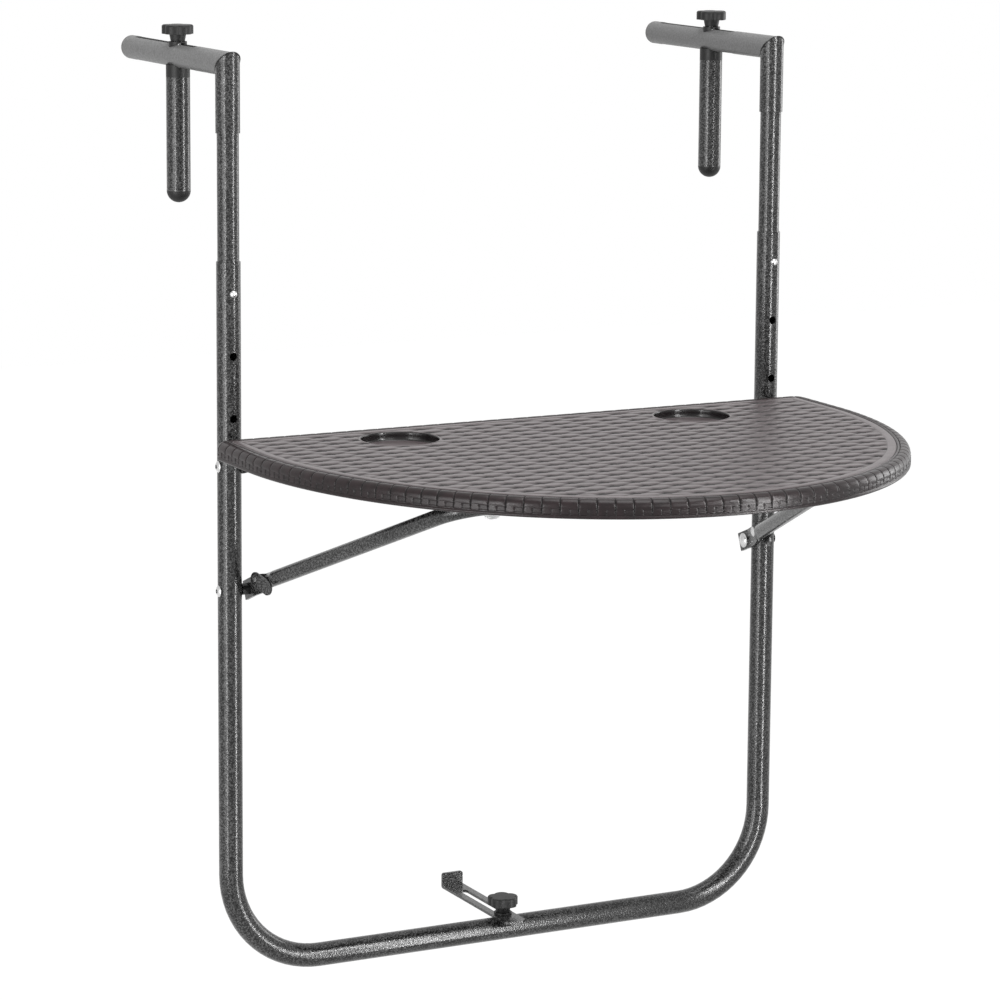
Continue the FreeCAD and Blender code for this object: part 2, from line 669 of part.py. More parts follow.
def arm_across():
    """Direction square to the right arm, in the brace's plane, outwards."""
    along = brace_frame_point(1, 0).sub(brace_frame_point(0, 0))
    return along * math.sin(LEAN) + Vector(math.cos(LEAN), 0, 0)


def arm_point(along, up, across=0.0):
    """Point on the right arm, which leans inwards from the fold of its flat end."""
    run = along - PADDLE_FOLD
    axis = brace_frame_point(PADDLE_FOLD + run * math.cos(LEAN), up, BRACE_X - run * math.sin(LEAN))
    return axis.add(arm_across() * across)


def arm_plate(outline, low, high):
    """Plate square to the arm's across direction, from (along, up) points."""
    points = [arm_point(along, up, low) for along, up in outline]
    face = Part.Face(Part.makePolygon(points + [points[0]]))
    return face.extrude(arm_across() * (high - low))


def oval_wire(along, half_thick, half_high):
    """Four-arc closed section of the brace, square to the arm, on its own axis."""
    quarter = 1 / math.sqrt(2)
    corners = [(half_thick, 0), (0, half_high), (-half_thick, 0), (0, -half_high)]
    edges = []
    for i in range(4):
        start = corners[i]
        end = corners[(i + 1) % 4]
        middle = ((start[0] + end[0]) * quarter, (start[1] + end[1]) * quarter)
        places = [arm_point(along, up, across) for across, up in (start, middle, end)]
        edges.append(Part.Arc(places[0], places[1], places[2]).toShape())
    return Part.Wire(edges)


def make_support_brace():
    """U-shaped tube with leaning arms; its ends are pressed flat, folded and drilled."""
    start = PADDLE_LENGTH + PADDLE_BLEND
    right_low = arm_point(start, 0)
    right_high = brace_frame_point(BRACE_REACH, 0, CROSS_HALF_X)
    left_high = brace_frame_point(BRACE_REACH, 0, -CROSS_HALF_X)
    left_low = Vector(-right_low.x, right_low.y, right_low.z)
    path = [left_low, left_high, right_high, right_low]
    brace = bent_tube(path, BRACE_BEND_R, BRACE_R, BRACE_R - BRACE_WALL)
    half = PADDLE_THICKNESS / 2
    tall = PADDLE_HEIGHT / 2
    corners = [(-PADDLE_TAIL, -tall), (-PADDLE_TAIL, tall), (PADDLE_FOLD, tall), (PADDLE_FOLD, -tall)]
    outline = [brace_frame_point(along, up) for along, up in corners]
    paddle = side_plate([(p.y, p.z) for p in outline], BRACE_X - half, BRACE_X + half)
    fold = cylinder(half, arm_point(PADDLE_FOLD, -tall), arm_point(PADDLE_FOLD, tall))
    neck = [(PADDLE_FOLD, -tall), (PADDLE_FOLD, tall), (PADDLE_SHOULDER, tall), (PADDLE_LENGTH, BRACE_R)]
    neck += [(PADDLE_LENGTH, -BRACE_R), (PADDLE_SHOULDER, -tall)]
    paddle = paddle.fuse(fold).fuse(arm_plate(neck, -half, half))
    flat_section = oval_wire(PADDLE_LENGTH - PADDLE_LAP, half, BRACE_R)
    blend = Part.makeLoft([flat_section, oval_wire(start, BRACE_R, BRACE_R)], True)
    hole = cylinder(PIVOT_R + TURN_FIT, Vector(0, LEG_Y, BRACE_PIVOT_Z), Vector(LEG_X, LEG_Y, BRACE_PIVOT_Z))
    end = paddle.fuse(blend).cut(hole).cut(tab_rivet_shank(-BRACE_R))
    return brace.fuse(end).fuse(mirrored(end)).removeSplitter()


def tab_rivet_centre(across):
    """Centre of the tab's rivet at a distance square to the brace's arm."""
    return arm_point(TAB_RIVET_ALONG, TAB_RIVET_UP, across)


def tab_rivet_shank(inner):
    """Rod of the tab's rivet from its inner end to the tab's outer face, right-hand side."""
    return cylinder(TAB_RIVET_R, tab_rivet_centre(inner), tab_rivet_centre(tab_outer()))


def tab_outer():
    """Tab plate's outer face, measured from the arm, inside the leg's inner side."""
    return LEG_X - LEG_R - SEAT_GAP - BRACE_X


def make_brace_tab(side):
    """Rounded stiffening tab outside the brace's flattened end."""
    outer = tab_outer()
    inner = outer - TAB_PLATE
    run = TAB_END_ALONG - TAB_RIVET_ALONG
    drop = TAB_END_DOWN + TAB_RIVET_UP
    scale = TAB_R / math.hypot(run, drop)
    tab = cylinder(TAB_R, tab_rivet_centre(inner), tab_rivet_centre(outer))
    low_end = [arm_point(TAB_END_ALONG, -TAB_END_DOWN, across) for across in (inner, outer)]
    tab = tab.fuse(cylinder(TAB_R, low_end[0], low_end[1]))
    outline = []
    for way, along, up in ((1, TAB_RIVET_ALONG, TAB_RIVET_UP), (1, TAB_END_ALONG, -TAB_END_DOWN),
                           (-1, TAB_END_ALONG, -TAB_END_DOWN), (-1, TAB_RIVET_ALONG, TAB_RIVET_UP)):
        outline.append((along + way * drop * scale, up + way * run * scale))
    tab = tab.fuse(arm_plate(outline, inner, outer))
    spacer = cylinder(TAB_SPACER_R, tab_rivet_centre(PADDLE_THICKNESS / 2), tab_rivet_centre(inner))
    tab = tab.fuse(spacer).cut(tab_rivet_shank(0)).removeSplitter()
    return tab if side > 0 else mirrored(tab)


def make_tab_rivets():
    """The two rivets that hold the tabs to the brace."""
    inner = -PADDLE_THICKNESS / 2
    head = dome_head(TAB_RIVET_HEAD_R, TAB_RIVET_HEAD, tab_rivet_centre(inner), arm_across() * -1)
    rivet = tab_rivet_shank(inner).fuse(head)
    return Part.makeCompound([rivet, mirrored(rivet)])


def make_catch(side):
    """Stamped catch: plate, low front lip and a tail that hangs behind the cross bar."""
    half = CATCH_WIDTH / 2
    low_x = CATCH_X - half
    high_x = CATCH_X + half
    front_y = CROSS_Y - CATCH_FRONT
    rear_y = CROSS_Y + CATCH_REAR
    plate = box((low_x, front_y, CATCH_SEAT_Z), (high_x, rear_y, PAD_Z))
    lip_rear = CROSS_Y - BRACE_R - CATCH_PLAY
    lip = box((low_x, lip_rear - CATCH_PLATE, CATCH_SEAT_Z - CATCH_LIP), (high_x, lip_rear, CATCH_SEAT_Z))
    tail_y = CROSS_Y + BRACE_R + CATCH_PLAY
    tail = box((low_x, tail_y, CATCH_SEAT_Z - CATCH_TAIL), (high_x, tail_y + CATCH_PLATE, CATCH_SEAT_Z))
    corners = [edge for edge in tail.Edges if edge.Length < CATCH_PLATE + 0.01]
    corners = [edge for edge in corners if edge.BoundBox.ZMax < CATCH_SEAT_Z - CATCH_PLATE]
    tail = tail.makeFillet(CATCH_TAIL_R, corners)
    catch = plate.fuse(lip).fuse(tail)
    for x, y in catch_screw_places(1):
        catch = catch.cut(Part.makeCylinder(SCREW_R, LEG_OD, Vector(x, y, CATCH_SEAT_Z - LEG_R)))
    return catch if side > 0 else mirrored(catch)


def make_rail_bar():
    """Flat slotted bar on the bottom rail with a lip turned up at its rear end."""
    half = RAIL_BAR_WIDTH / 2
    front_y = LEG_Y - RAIL_BAR_FRONT
    rear_y = LEG_Y + RAIL_BAR_REAR
    top_z = BAR_Z + RAIL_BAR_PLATE
    bar = box((-half, front_y, BAR_Z), (half, rear_y, top_z))
    lip = box((-half, rear_y - RAIL_BAR_PLATE, BAR_Z), (half, rear_y, top_z + RAIL_BAR_LIP))
    bar = bar.fuse(lip).removeSplitter()
    fold = [e for e in bar.Edges if e.BoundBox.YMin > rear_y - 0.01 and e.BoundBox.ZMax < BAR_Z + 0.01]
    bar = bar.makeFillet(RAIL_BAR_PLATE, fold)
    lip_top = [e for e in bar.Edges if e.BoundBox.ZMin > top_z + RAIL_BAR_LIP - 0.01]
    lip_top = [e for e in lip_top if e.BoundBox.XLength < 0.01]
    bar = bar.makeFillet(RAIL_LIP_R, lip_top)
    tips = [e for e in bar.Edges if e.BoundBox.YMax < front_y + 0.01 and e.BoundBox.XLength < 0.01]
    tips = [e for e in tips if e.BoundBox.ZLength > RAIL_BAR_PLATE / 2]
    bar = bar.makeChamfer(RAIL_BAR_CHAMFER, tips)
    slot_front = LEG_Y - RAIL_SLOT_FRONT
    slot_rear = LEG_Y + RAIL_SLOT_REAR
    slot = slot_cutter(RAIL_SLOT_WIDTH, slot_front, slot_rear, 0, BAR_Z - 1, top_z + 1)
    return bar.cut(slot)


def rail_knob_base_z():
    """Height of the underside of the bottom knob's neck."""
    return BAR_Z + RAIL_BAR_PLATE + SEAT_GAP + KNOB_WASHER + SEAT_GAP


def make_rail_washer():
    """Flat washer between the bottom knob and the slotted bar."""
    base = Vector(0, LEG_Y, BAR_Z + RAIL_BAR_PLATE + SEAT_GAP)
    return tube(KNOB_WASHER_R, BOLT_R + SEAT_GAP, base, base.add(Vector(0, 0, KNOB_WASHER)))


def make_rail_knob():
    """Hand knob of the rail bracket."""
    base = Vector(0, LEG_Y, rail_knob_base_z())
    bore = cylinder(BOLT_R, base, base.add(Vector(0, 0, KNOB_NECK + KNOB_HEAD / 2)))
    return knob_solid(base).cut(bore)


def make_rail_bolt():
    """Bolt from the bottom knob into the threaded insert of the rail."""
    top = Vector(0, LEG_Y, rail_knob_base_z() + KNOB_NECK + KNOB_HEAD / 2)
    foot = Vector(0, LEG_Y, RAIL_Z - BOLT_BELOW_NUT)
    return cylinder(BOLT_R, foot, top)


def nut_sleeve_r():
    """Outer radius of the threaded insert's sleeve."""
    return BOLT_R + INSERT_WALL


def make_rail_insert():
    """Threaded insert set in the top wall of the bottom rail."""
    base = Vector(0, LEG_Y, RAIL_Z)
    collar_r = nut_sleeve_r() + INSERT_COLLAR
    collar_top = RAIL_Z + math.sqrt(LEG_BORE_R * LEG_BORE_R - collar_r * collar_r)
    sleeve = cylinder(nut_sleeve_r(), base, Vector(0, LEG_Y, RAIL_Z + LEG_R))
    collar = cylinder(collar_r, base, Vector(0, LEG_Y, collar_top))
    bore = cylinder(BOLT_R + TURN_FIT, base, Vector(0, LEG_Y, RAIL_Z + LEG_OD))
    return sleeve.fuse(collar).cut(bore)


def build():
    """Every node's shape under its name."""
    nodes = {"u_frame": make_u_frame(), "table_top": make_table_top(), "table_screws": make_table_screws()}
    nodes["support_brace"] = make_support_brace()
    nodes["brace_tab_rivets"] = make_tab_rivets()
    nodes["pivot_spacers"] = make_pivot_spacers()
    nodes["rail_bar"] = make_rail_bar()
    nodes["rail_knob_washer"] = make_rail_washer()
    nodes["rail_knob"] = make_rail_knob()
    nodes["rail_bolt"] = make_rail_bolt()
    nodes["rail_insert"] = make_rail_insert()
    makers = {
        "post": make_post,
        "hook_arm": make_hook_arm,
        "arm_plug": make_arm_plug,
        "snap_button": make_snap_button,
        "button_spring": make_button_spring,
        "drop_leg": make_drop_leg,
        "drop_saddle": make_saddle,
        "drop_nut": make_drop_nut,
        "drop_cap": make_drop_cap,
        "clamp_knob": make_clamp_knob,
        "clamp_bolt": make_clamp_bolt,
        "clamp_washer": make_clamp_washer,
        "hinge_bracket": make_hinge_bracket,
        "table_pivot": make_top_pivot,
        "brace_pivot": make_brace_pivot,
        "brace_tab": make_brace_tab,
        "brace_catch": make_catch,
    }
    for name, maker in makers.items():
        for side_name, side in SIDES.items():
            nodes[name + "_" + side_name] = maker(side)
    return nodes


os.makedirs("parts", exist_ok=True)
for node_name, shape in build().items():
    shape.exportStep("parts/" + node_name + ".step")
    print(node_name, len(shape.Solids), round(shape.Volume), shape.isValid())
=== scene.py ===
"""Looks of the balcony railing bar table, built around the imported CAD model.

X runs along the railing, +Y points over the railing, +Z is up. Objects are made in metres.
The sizes named here are millimetres, unless the comment above them says otherwise.
"""

import bmesh
import bpy
import math
import numpy as np
from mathutils import Matrix, Vector
from mathutils.geometry import delaunay_2d_cdt


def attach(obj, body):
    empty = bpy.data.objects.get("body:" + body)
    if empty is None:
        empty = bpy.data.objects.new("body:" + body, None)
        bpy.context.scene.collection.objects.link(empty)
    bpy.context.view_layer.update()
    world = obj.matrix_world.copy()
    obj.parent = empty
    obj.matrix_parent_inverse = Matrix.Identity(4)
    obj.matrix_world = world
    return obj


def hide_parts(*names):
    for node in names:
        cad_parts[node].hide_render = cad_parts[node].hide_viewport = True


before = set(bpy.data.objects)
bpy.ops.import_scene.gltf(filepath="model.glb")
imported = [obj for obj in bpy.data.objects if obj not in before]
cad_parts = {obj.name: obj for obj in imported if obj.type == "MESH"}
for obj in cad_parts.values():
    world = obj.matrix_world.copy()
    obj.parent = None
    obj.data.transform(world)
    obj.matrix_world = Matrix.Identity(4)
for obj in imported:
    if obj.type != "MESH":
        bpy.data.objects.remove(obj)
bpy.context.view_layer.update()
MM = 0.001

# Sizes of the CAD model that the dressed pieces follow
LEG_R = 12.5
LEG_X = 319.0
LEG_Y = -12.5
ARM_Z = 12.5
TOP_Z = -365.0
TOP_HALF_WIDTH = 349.0
TOP_REAR_Y = -36.5
TOP_STRAIGHT_SIDE = 85.0
TOP_FRONT_BULGE = 405.0
TOP_CORNER_R = 18.0
TOP_THICKNESS = 19.0
CUP_R = 40.2
CUP_DEPTH = 9.5
CUPS = ((-171.0, -107.5), (171.0, -107.5))
SIDES = {"left": -1, "right": 1}

# Points on the outline's six sections: ellipse, side, corner, rear, corner, side
SECTION_POINTS = (1440, 60, 60, 400, 60, 60)

# Weave: the strands' pitches and first places, and the shape of a strand and of the hole beside
# its dip, whose darkness is painted shade. Taper and powers are exponents; notch, reach and the
# hole's painted shade and height are shares.
WEFT_PITCH = 10.35
WEFT_FIRST_Y = -231.5
WARP_PITCH = 28.9
WARP_FIRST_X = -124.4
WEFT_LOW = -2.4
WEFT_HIGH = -0.12
STRAND_DIP = 2.0
STRAND_DIP_POWER = 2.5
STRAND_HALF_WIDTH = 8.3
STRAND_TAPER = 0.42
STRAND_REACH = 1.3
STRAND_EDGE = 2.1
STRAND_EDGE_POWER = 5
STRAND_NOTCH = 0.34
NOTCH_LENGTH = 2.2
HOLE_SHIFT = 3.0
HOLE_LENGTH = 2.6
HOLE_WIDTH = 4.0
HOLE_SHADE = 0.75
HOLE_HIGHEST = 0.9

# Woven field and the cups in it: insets, fades to the edges, and the mesh's steps
FIELD_INSET = 24.0
FIELD_MARGIN = 0.9
FIELD_REAR_MARGIN = 0.6
FIELD_SLACK = 0.2
EDGE_Z = -0.8
EDGE_FADE = 3.0
EDGE_POINT_GAP = 0.5
STEP_X = 2.8
ROW_STEPS = (-4.95, -4.1, -3.1, -2.1, -1.1, -0.1, 0.9, 2.0, 3.1, 4.2)
WEFT_ROWS = range(-60, 60)
CUP_EDGE_R = 42.4
CUP_FADE = 2.5
CUP_SLACK = 0.05
CUP_SECTIONS = 120
CUP_WALL_RINGS = range(3, 9)

# Cup's rings from the lip down to the floor's middle, as (radius, z)
CUP_PROFILE = (
    (CUP_EDGE_R, EDGE_Z), (41.9, -0.4), (41.3, -0.2), (40.7, -0.3), (40.3, -0.8),
    (CUP_R - 0.1, -1.6), (CUP_R - 0.2, -4.0), (CUP_R - 0.4, -7.6), (39.5, -8.5), (38.7, -9.2),
    (37.4, -CUP_DEPTH + 0.02), (33.0, -CUP_DEPTH), (20.0, -CUP_DEPTH), (6.0, -CUP_DEPTH + 0.02),
)

# Wrapped rim: ticks cross its roll, and raised blocks stand between lines on its side
RIM_PITCH = 17.4
RIM_R = 8.0
RIM_BULGE = 0.14
RIM_HIGHEST = -0.05
RIM_CENTRE = (RIM_R + 0.7, -RIM_R - 0.35)
BLOCK_LINE_DEPTH = 0.55
BLOCK_SINK = 0.35

# Along one wrap, as shares of the pitch
TICK_WIDTH = 0.032
BLOCK_LINE_WIDTH = 0.03
TICK_STEPS = (0.0, 0.022, 0.045, 0.075, 0.16, 0.28, 0.40, 0.455, 0.485, 0.515, 0.545, 0.60,
              0.72, 0.84, 0.925, 0.955, 0.978)

# Relief that the rattan's shader paints shade by: of the cups and of the plain rim, how much the
# rim's ticks and lines take off as painted shade, and the sunken blocks' share of that
CUP_RELIEF = 0.9
RIM_RELIEF = 0.85
RIM_SHADE = 0.75
BLOCK_SHADE = 0.15

# Profile from the field outwards and down: the band and bead, and the lower lip, as (inset, z);
# the groove and the side as (inset, z, ticks, blocks); the roll between them by its angles
BAND_PROFILE = (
    (24.0, EDGE_Z), (23.2, -0.35), (21.5, -0.2), (18.0, -0.2), (16.2, -0.35), (15.6, -0.8),
    (15.1, -1.7), (14.5, -1.75), (14.1, -0.9), (13.5, -0.35), (12.8, -0.25), (12.1, -0.55),
    (11.7, -1.4), (11.2, -2.1),
)
GROOVE_ROW = (10.6, -2.0, 0.2, 0)
RIM_ANGLES = range(112, -1, -14)
SIDE_PROFILE = (
    (0.75, -8.9, 1, 0), (0.8, -9.15, 0.6, 0.2), (0.8, -9.35, 0.3, 1), (0.7, -10.2, 0.3, 1),
    (0.65, -11.5, 0.3, 1), (0.65, -13.0, 0.3, 1), (0.7, -14.2, 0.3, 1), (0.8, -14.6, 0.2, 1),
    (0.85, -14.85, 0, 0.2),
)
LIP_PROFILE = (
    (1.3, -15.2), (1.3, -15.5), (0.5, -15.9), (0.2, -16.6), (0.2, -17.4), (0.7, -18.2),
    (1.6, -18.8), (3.0, -TOP_THICKNESS),
)

# Rows of the rim's profile up to which each stretch runs, counted from the field
BAND_ROWS = 6
BEAD_ROWS = 15
CREST_ROWS = 20
SIDE_ROWS = 30

# Underside: depths of the skin and outer wall that the woven top stands for, and the limits by
# which a face counts as a cup's or as facing straight down
SKIN_DEPTH = 4.9
WALL_DEPTH = 3.05
CUP_PICK_R = CUP_R + 0.2
CUP_PICK_DEPTH = CUP_DEPTH + 0.1
FACES_DOWN = -0.98

# Weld lines at the elbows
SEAM_R = 0.7
SEAM_POINTS = 96
SEAM_SECTIONS = 8

# Scales of the textures, per metre; three numbers stretch a texture by axis
DIMPLES = 520.0
VEINS = 560.0
MOULD_GRAIN = 1400.0
CUP_GRAIN = 2200.0
SCRATCHES = (700.0, 90.0, 90.0)
EVEN_GRAIN = (160.0, 160.0, 160.0)
STRAW = (70.0, 1500.0, 900.0)
STRANDS = (22.0, 160.0, 60.0)

# Roughness added past the mitre, and roughness of the weave's hollows
ARM_ROUGHER = 0.22
HOLLOW_ROUGHNESS = (0.7, 0.7, 0.7, 1.0)

# Camera: metres, degrees, and the lens in millimetres
CAMERA_PLACE = (-1.8478, -3.5866, 0.3089)
CAMERA_YAW = 27.238
CAMERA_PITCH = -9.62
CAMERA_ROLL = 0.428
CAMERA_LENS = 138.73
CAMERA_SHIFT = -0.08

# Lamps: name, place, target and size in metres, power in watts, whether it gives diffuse light
TOP_MIDDLE = (0.0, -0.2, -0.4)
FRAME_MIDDLE = (0.0, 0.0, -0.5)
LAMPS = (
    ("side_box", (-3.0, -0.9, -0.3), TOP_MIDDLE, (1.1, 2.6), 34.0, True),
    ("front_box", (0.4, -4.2, 1.2), TOP_MIDDLE, (2.0, 2.0), 40.0, True),
    ("top_box", (0.3, -0.6, 3.2), TOP_MIDDLE, (2.4, 2.4), 70.0, True),
    ("box_right", (3.2, 0.2, 0.1), FRAME_MIDDLE, (1.0, 1.8), 30.0, False),
    ("strip_left", (-2.9, -1.9, -0.5), FRAME_MIDDLE, (0.3, 3.0), 60.0, False),
    ("strip_right", (0.45, -1.15, -0.5), FRAME_MIDDLE, (0.1, 2.0), 24.0, False),
)

# World and floor; the floor's height and reach in metres
WHITE = (1.0, 1.0, 1.0, 1.0)
WORLD_STRENGTH = 0.55
FLOOR_Z = -2.6
FLOOR_REACH = 14.0
FLOOR_COLOUR = (0.8, 0.8, 0.8, 1.0)
FLOOR_SEEN_COLOUR = (0.3, 0.3, 0.3, 1.0)
FLOOR_SEEN_GLOW = 0.85


def srgb(value):
    """Linear value of a screen value from 0 to 1."""
    return value / 12.92 if value <= 0.04045 else ((value + 0.055) / 1.055) ** 2.4


def grey(value, warm=0.0):
    """Linear colour of a screen grey, warmed a little towards a reddish brown."""
    return (srgb(value * (1 + warm)), srgb(value), srgb(value * (1 + warm * 0.15)), 1.0)


class Nodes:
    """Small helper that builds a material's node tree."""

    def __init__(self, name):
        self.material = bpy.data.materials.new(name)
        self.material.use_nodes = True
        self.tree = self.material.node_tree
        self.shader = self.tree.nodes["Principled BSDF"]
        self.place = self.add("ShaderNodeTexCoord").outputs["Object"]

    def add(self, kind, **values):
        """New node with its properties and its inputs set by name."""
        node = self.tree.nodes.new(kind)
        for key, value in values.items():
            if key in node.inputs:
                node.inputs[key].default_value = value
            else:
                setattr(node, key, value)
        return node

    def link(self, source, target):
        """Joins an output to an input."""
        self.tree.links.new(source, target)

    def stretched(self, scale):
        """The object's coordinates, scaled by axis."""
        node = self.add("ShaderNodeMapping")
        node.inputs["Scale"].default_value = scale
        self.link(self.place, node.inputs["Vector"])
        return node.outputs["Vector"]

    def noise(self, scale, detail, vector=None, roughness=0.55):
        """Noise texture's value."""
        node = self.add("ShaderNodeTexNoise", Scale=scale, Detail=detail, Roughness=roughness)
        self.link(vector or self.place, node.inputs["Vector"])
        return node.outputs["Fac"]

    def cells(self, scale):
        """Voronoi texture's distance."""
        node = self.add("ShaderNodeTexVoronoi", Scale=scale)
        self.link(self.place, node.inputs["Vector"])
        return node.outputs["Distance"]

    def ramp(self, source, low, low_colour, high, high_colour):
        """Colour ramp between two positions."""
        node = self.add("ShaderNodeValToRGB")
        first, last = node.color_ramp.elements
        first.position, first.color = low, low_colour
        last.position, last.color = high, high_colour
        self.link(source, node.inputs["Fac"])
        return node.outputs["Color"]

    def span(self, source, low, high, to_low, to_high):
        """Maps a value from one span to another."""
        node = self.add("ShaderNodeMapRange")
        limits = {"From Min": low, "From Max": high, "To Min": to_low, "To Max": to_high}
        for name, value in limits.items():
            node.inputs[name].default_value = value
        self.link(source, node.inputs["Value"])
        return node.outputs["Result"]

    def mix(self, factor, first, second):
        """Mixes two colours; each is an output or a colour, factor an output or a number."""
        node = self.add("ShaderNodeMix", data_type="RGBA")
        for index, value in ((0, factor), (6, first), (7, second)):
            if isinstance(value, bpy.types.NodeSocket):
                self.link(value, node.inputs[index])
            else:
                node.inputs[index].default_value = value
        return node.outputs[2]

    def bump(self, height, strength, distance, below=None):
        """Bump from a height, on top of another bump if given."""
        node = self.add("ShaderNodeBump", Strength=strength, Distance=distance)
        self.link(height, node.inputs["Height"])
        if below:
            self.link(below, node.inputs["Normal"])
        return node.outputs["Normal"]

    def finish(self, colour, roughness, normal, **values):
        """Joins the results to the shader and sets its plain values."""
        for source, name in ((colour, "Base Color"), (roughness, "Roughness"), (normal, "Normal")):
            self.link(source, self.shader.inputs[name])
        for name, value in values.items():
            self.shader.inputs[name.replace("_", " ")].default_value = value
        return self.material


def hammered_paint(name, dark, light, arm=None):
    """Grey hammered powder coat: pale veins round dark dimples, partly the coat's own flecks and
    partly painted glints of its bumps.

    arm holds the two paler colours of the finer, duller coat past the elbow's mitre; their
    paleness is a painted sheen.
    """
    n = Nodes(name)
    dimples = n.cells(DIMPLES)
    veins = n.noise(VEINS, 1.0, roughness=0.4)
    broad = n.noise(16.0, 2.0)
    # Pale veins and dimple rims: the coat's flecks, and partly painted glints
    base = n.ramp(n.span(veins, 0.38, 0.62, 0.0, 1.0), 0.5, dark, 0.86, light)
    base = n.mix(n.span(dimples, 0.45, 0.8, 0.0, 0.4), base, light)
    colour = n.mix(n.span(broad, 0.3, 0.7, 0.0, 0.3), base, dark)
    rough = n.span(veins, 0.35, 0.65, 0.26, 0.18)
    if arm:
        split = n.add("ShaderNodeSeparateXYZ")
        n.link(n.place, split.inputs["Vector"])
        past = n.add("ShaderNodeMath", operation="ADD")
        n.link(split.outputs["Y"], past.inputs[0])
        n.link(split.outputs["Z"], past.inputs[1])
        on_arm = n.span(past.outputs[0], -0.0003, 0.0003, 0.0, 1.0)
        # Painted sheen: paler colours on the arms past the mitre
        fine = n.mix(n.span(veins, 0.3, 0.7, 0.0, 1.0), arm[0], arm[1])
        colour = n.mix(on_arm, colour, fine)
        rougher = n.add("ShaderNodeMath", operation="MULTIPLY_ADD")
        rougher.inputs[1].default_value = ARM_ROUGHER
        n.link(on_arm, rougher.inputs[0])
        n.link(rough, rougher.inputs[2])
        rough = rougher.outputs[0]
    normal = n.bump(dimples, 0.25, 0.0003, n.bump(veins, 0.4, 0.0003))
    return n.finish(colour, rough, normal, Specular_IOR_Level=0.36, Coat_Weight=0.05,
                    Coat_Roughness=0.1)


def moulded_plastic(name, dark, light, rough_low, rough_high, grain=MOULD_GRAIN, coat=0.0):
    """Moulded plastic with a fine spark-eroded grain."""
    n = Nodes(name)
    fine = n.noise(grain, 3.0)
    broad = n.noise(60.0, 4.0)
    colour = n.ramp(broad, 0.3, dark, 0.75, light)
    rough = n.span(broad, 0.3, 0.75, rough_low, rough_high)
    normal = n.bump(fine, 0.2, 0.0002)
    return n.finish(colour, rough, normal, Specular_IOR_Level=0.3, Coat_Weight=coat,
                    Coat_Roughness=0.2)


def plated_metal(name, dark, light, rough_low, rough_high, stretch=SCRATCHES):
    """Plated or bare metal with fine drawn scratches."""
    n = Nodes(name)
    lines = n.noise(1.0, 4.0, n.stretched(stretch))
    cloud = n.noise(120.0, 4.0)
    colour = n.mix(n.span(cloud, 0.35, 0.7, 0.0, 1.0), dark, light)
    rough = n.span(lines, 0.3, 0.75, rough_low, rough_high)
    return n.finish(colour, rough, n.bump(lines, 0.15, 0.0001), Metallic=0.95)


def rattan(name, low, high, hollow_shade_colour, rough_low, rough_high, specular):
    """Moulded rattan: straw grain along the strands, and painted shade in the hollows of the weave
    where the relief is low.
    """
    n = Nodes(name)
    straw = n.noise(1.0, 4.0, n.stretched(STRAW))
    strand = n.noise(1.0, 2.0, n.stretched(STRANDS))
    broad = n.noise(9.0, 2.0)
    relief = n.add("ShaderNodeAttribute", attribute_name="relief").outputs["Fac"]
    colour = n.mix(n.span(strand, 0.3, 0.7, 0.0, 1.0), low, high)
    colour = n.mix(n.span(straw, 0.3, 0.8, 0.0, 0.35), colour, high)
    # Painted shade: the hollow shade colour where the relief is low
    colour = n.mix(n.span(relief, 0.25, 0.92, 1.0, 0.0), colour, hollow_shade_colour)
    hollow = n.span(relief, 0.4, 0.8, 1.0, 0.0)
    rough = n.mix(hollow, n.span(straw, 0.25, 0.8, rough_low, rough_high), HOLLOW_ROUGHNESS)
    worn = n.bump(straw, 0.35, 0.00025, n.bump(broad, 0.1, 0.002))
    return n.finish(colour, rough, worn, Specular_IOR_Level=specular)


PAINT = hammered_paint("hammered_paint", grey(0.02), grey(0.37))
# The arms past the mitre carry a painted sheen in paler colours
PAINT_ARM_SHEEN = hammered_paint("hammered_paint_arms_sheen", grey(0.02), grey(0.37),
                           (grey(0.39), grey(0.46)))
BLACK = moulded_plastic("black_plastic", grey(0.06), grey(0.11), 0.42, 0.55)
ZINC = plated_metal("bright_zinc", grey(0.72), grey(0.88), 0.22, 0.38)
SPRING = plated_metal("spring_steel", grey(0.5), grey(0.62), 0.25, 0.4)
SHEET = plated_metal("grey_sheet", grey(0.3), grey(0.48), 0.34, 0.5, EVEN_GRAIN)
# The third colour of each rattan is the painted shade of its hollows
WEAVE = rattan("rattan_weave", grey(0.27, 0.12), grey(0.36, 0.10), grey(0.03, 0.4), 0.3, 0.43, 0.5)
RIM = rattan("rattan_rim", grey(0.06, 0.5), grey(0.12, 0.4), grey(0.01, 0.2), 0.27, 0.37, 0.28)
UNDERSIDE = moulded_plastic("rattan_underside", grey(0.20, 0.1), grey(0.25, 0.1), 0.45, 0.6)
CUP_WALL = moulded_plastic("cup_wall", grey(0.07, 0.2), grey(0.11, 0.2), 0.18, 0.28, CUP_GRAIN,
                           coat=0.1)

# Starts of the CAD nodes' names, by material
NODE_MATERIALS = {
    PAINT: ("u_frame", "post_", "drop_leg_", "support_brace", "rail_bar", "brace_tab_left",
            "brace_tab_right"),
    PAINT_ARM_SHEEN: ("hook_arm_",),
    BLACK: ("arm_plug_", "drop_saddle_", "drop_cap_", "clamp_knob_", "rail_knob", "clamp_washer_",
            "pivot_spacers"),
    ZINC: ("snap_button_", "table_pivot_", "brace_pivot_", "brace_tab_rivets", "table_screws",
           "drop_nut_", "clamp_bolt_", "rail_bolt", "rail_insert"),
    SPRING: ("button_spring_",),
    SHEET: ("hinge_bracket_", "brace_catch_"),
    UNDERSIDE: ("table_top",),
}


def dress_cad_nodes():
    """Gives every CAD node its procedural material."""
    for name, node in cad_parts.items():
        chosen = next(material for material, starts in NODE_MATERIALS.items()
                      if name.startswith(starts))
        if not node.material_slots:
            node.data.materials.append(chosen)
        for material_slot in node.material_slots:
            material_slot.material = chosen


